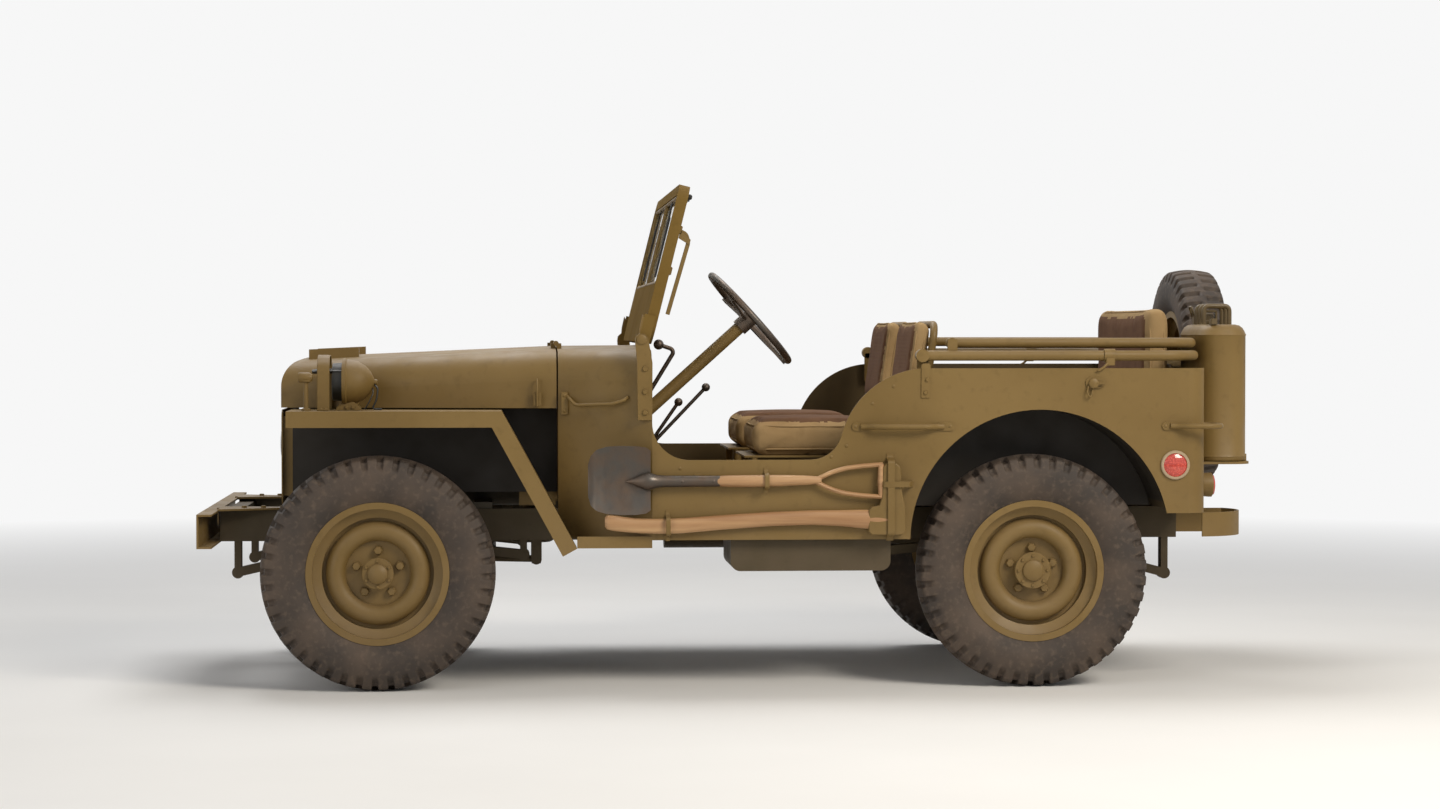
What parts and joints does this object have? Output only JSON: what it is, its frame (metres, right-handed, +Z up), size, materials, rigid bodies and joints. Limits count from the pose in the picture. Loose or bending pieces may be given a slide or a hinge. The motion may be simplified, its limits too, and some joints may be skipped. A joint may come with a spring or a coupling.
{
  "type": "open light army car",
  "caption": "Open light army car with turning and steered wheels, hinged bonnet, fold-down windscreen, folding hood bows and a tipping passenger seat.",
  "frame": {"origin": "on the ground, under the middle of the overall length, on the body's centre plane", "axes": "+X to the rear along the car, +Y to the car's right-hand side, +Z up; the front bumper faces -X and the left-hand side faces -Y"},
  "size_m": [3.3621, 1.57, 1.5611],
  "materials": {
    "olive_paint": "semi-matt olive drab paint, lightly dusty",
    "chassis_paint": "dull olive drab paint with road dust",
    "engine_iron": "plain painted casting",
    "canvas": "tan canvas with soft seams",
    "tyre_rubber": "dusty dark rubber",
    "clear_glass": "clear flat glass",
    "ash_wood": "dry ash wood, greyed",
    "tool_steel": "dark worn steel",
    "red_reflector": "red moulded lens in a painted rim"
  },
  "bodies": {
    "chassis": {"frame": "chassis_paint", "front_bumper": "olive_paint", "rear_bumpers": "olive_paint", "tow_hook": "olive_paint", "floor": "olive_paint", "side_left": "olive_paint", "side_right": "olive_paint", "rear_panel": "olive_paint", "wheel_boxes": "olive_paint", "scuttle": "olive_paint", "front_fenders": "olive_paint", "grille": "olive_paint", "radiator": "chassis_paint", "engine": "engine_iron", "gearbox": "chassis_paint", "propeller_shafts": "chassis_paint", "front_axle": "chassis_paint", "rear_axle": "chassis_paint", "leaf_springs": "chassis_paint", "dampers": "chassis_paint", "exhaust": "chassis_paint", "fuel_tank": "chassis_paint", "driver_seat_frame": "olive_paint", "driver_seat_pads": "canvas", "bench_frame": "olive_paint", "bench_pads": "canvas", "steering_column": "olive_paint", "levers": "olive_paint", "body_brackets": "olive_paint", "grab_handles": "olive_paint", "tail_carriers": "olive_paint", "fuel_can": "olive_paint", "spare_tyre": "tyre_rubber", "spare_wheel": "olive_paint", "front_lamps": "olive_paint", "rear_lamps": "red_reflector", "tool_heads": "tool_steel", "tool_handles": "ash_wood"},
    "bonnet": {"bonnet": "olive_paint"},
    "windscreen": {"windscreen_frame": "olive_paint", "windscreen_glass": "clear_glass"},
    "passenger_seat": {"passenger_seat_frame": "olive_paint", "passenger_seat_pads": "canvas"},
    "bow_lower": {"bow_lower": "olive_paint"},
    "bow_upper": {"bow_upper": "olive_paint"},
    "knuckle_left": {"knuckle_left": "chassis_paint"},
    "knuckle_right": {"knuckle_right": "chassis_paint"},
    "bell_crank": {"bell_crank": "chassis_paint"},
    "tie_rods": {"tie_rods": "chassis_paint"},
    "drag_link": {"drag_link": "chassis_paint"},
    "drop_arm": {"drop_arm": "chassis_paint"},
    "steering_wheel": {"steering_wheel": "olive_paint"},
    "wheel_front_left": {"tyre_front_left": "tyre_rubber", "wheel_front_left": "olive_paint"},
    "wheel_front_right": {"tyre_front_right": "tyre_rubber", "wheel_front_right": "olive_paint"},
    "wheel_rear_left": {"tyre_rear_left": "tyre_rubber", "wheel_rear_left": "olive_paint"},
    "wheel_rear_right": {"tyre_rear_right": "tyre_rubber", "wheel_rear_right": "olive_paint"}
  },
  "joints": [
    {"name": "wheel_front_left_spin", "type": "hinge", "parent": "knuckle_left", "child": "wheel_front_left", "pos_m": [-1.131, -0.6225, 0.362], "axis": [0, 1, 0], "continuous": true},
    {"name": "wheel_front_right_spin", "type": "hinge", "parent": "knuckle_right", "child": "wheel_front_right", "pos_m": [-1.131, 0.6225, 0.362], "axis": [0, 1, 0], "continuous": true},
    {"name": "wheel_rear_left_spin", "type": "hinge", "parent": "chassis", "child": "wheel_rear_left", "pos_m": [0.901, -0.6225, 0.362], "axis": [0, 1, 0], "continuous": true},
    {"name": "wheel_rear_right_spin", "type": "hinge", "parent": "chassis", "child": "wheel_rear_right", "pos_m": [0.901, 0.6225, 0.362], "axis": [0, 1, 0], "continuous": true},
    {"name": "steer_left", "type": "hinge", "parent": "chassis", "child": "knuckle_left", "pos_m": [-1.131, -0.505, 0.362], "axis": [0, 0, 1], "range_deg": [-26, 26]},
    {"name": "steer_right", "type": "hinge", "parent": "chassis", "child": "knuckle_right", "pos_m": [-1.131, 0.505, 0.362], "axis": [0, 0, 1], "range_deg": [-26, 26]},
    {"name": "bell_crank_turn", "type": "hinge", "parent": "chassis", "child": "bell_crank", "pos_m": [-1.001, -0.06, 0.358], "axis": [0, 0, 1], "range_deg": [-26, 26]},
    {"name": "tie_rods_swing", "type": "hinge", "parent": "knuckle_left", "child": "tie_rods", "pos_m": [-0.981, -0.505, 0.3365], "axis": [0, 0, 1], "range_deg": [-26, 26]},
    {"name": "drag_link_swing", "type": "hinge", "parent": "bell_crank", "child": "drag_link", "pos_m": [-1.001, -0.17, 0.3795], "axis": [0, 0, 1], "range_deg": [-26, 26]},
    {"name": "drop_arm_turn", "type": "hinge", "parent": "chassis", "child": "drop_arm", "pos_m": [-0.64, -0.312, 0.5295], "axis": [0, 1, 0], "range_deg": [-20, 20]},
    {"name": "steering_wheel_turn", "type": "hinge", "parent": "chassis", "child": "steering_wheel", "pos_m": [0.041, -0.345, 1.149], "axis": [0.7431, 0, 0.6691], "range_deg": [-365, 365]},
    {"name": "windscreen_fold", "type": "hinge", "parent": "chassis", "child": "windscreen", "pos_m": [-0.322, 0, 1.082], "axis": [0, 1, 0], "range_deg": [-107, 0]},
    {"name": "bonnet_lift", "type": "hinge", "parent": "chassis", "child": "bonnet", "pos_m": [-0.5775, 0, 1.069], "axis": [0, 1, 0], "range_deg": [0, 75]},
    {"name": "passenger_seat_tip", "type": "hinge", "parent": "chassis", "child": "passenger_seat", "pos_m": [0.04, 0, 0.582], "axis": [0, 1, 0], "range_deg": [-55, 0]},
    {"name": "bow_lower_raise", "type": "hinge", "parent": "chassis", "child": "bow_lower", "pos_m": [0.545, 0, 1.032], "axis": [0, 1, 0], "range_deg": [-95, 0]},
    {"name": "bow_upper_raise", "type": "hinge", "parent": "bow_lower", "child": "bow_upper", "pos_m": [0.64, 0, 1.071], "axis": [0, 1, 0], "range_deg": [-35, 0]}
  ],
  "couplings": [
    {"joint": "steer_right", "follows": "steer_left", "ratio": 1},
    {"joint": "bell_crank_turn", "follows": "steer_left", "ratio": 1},
    {"joint": "tie_rods_swing", "follows": "steer_left", "ratio": -1},
    {"joint": "drag_link_swing", "follows": "steer_left", "ratio": -1},
    {"joint": "drop_arm_turn", "follows": "steer_left", "ratio": -0.7333},
    {"joint": "steering_wheel_turn", "follows": "steer_left", "ratio": 14}
  ]
}
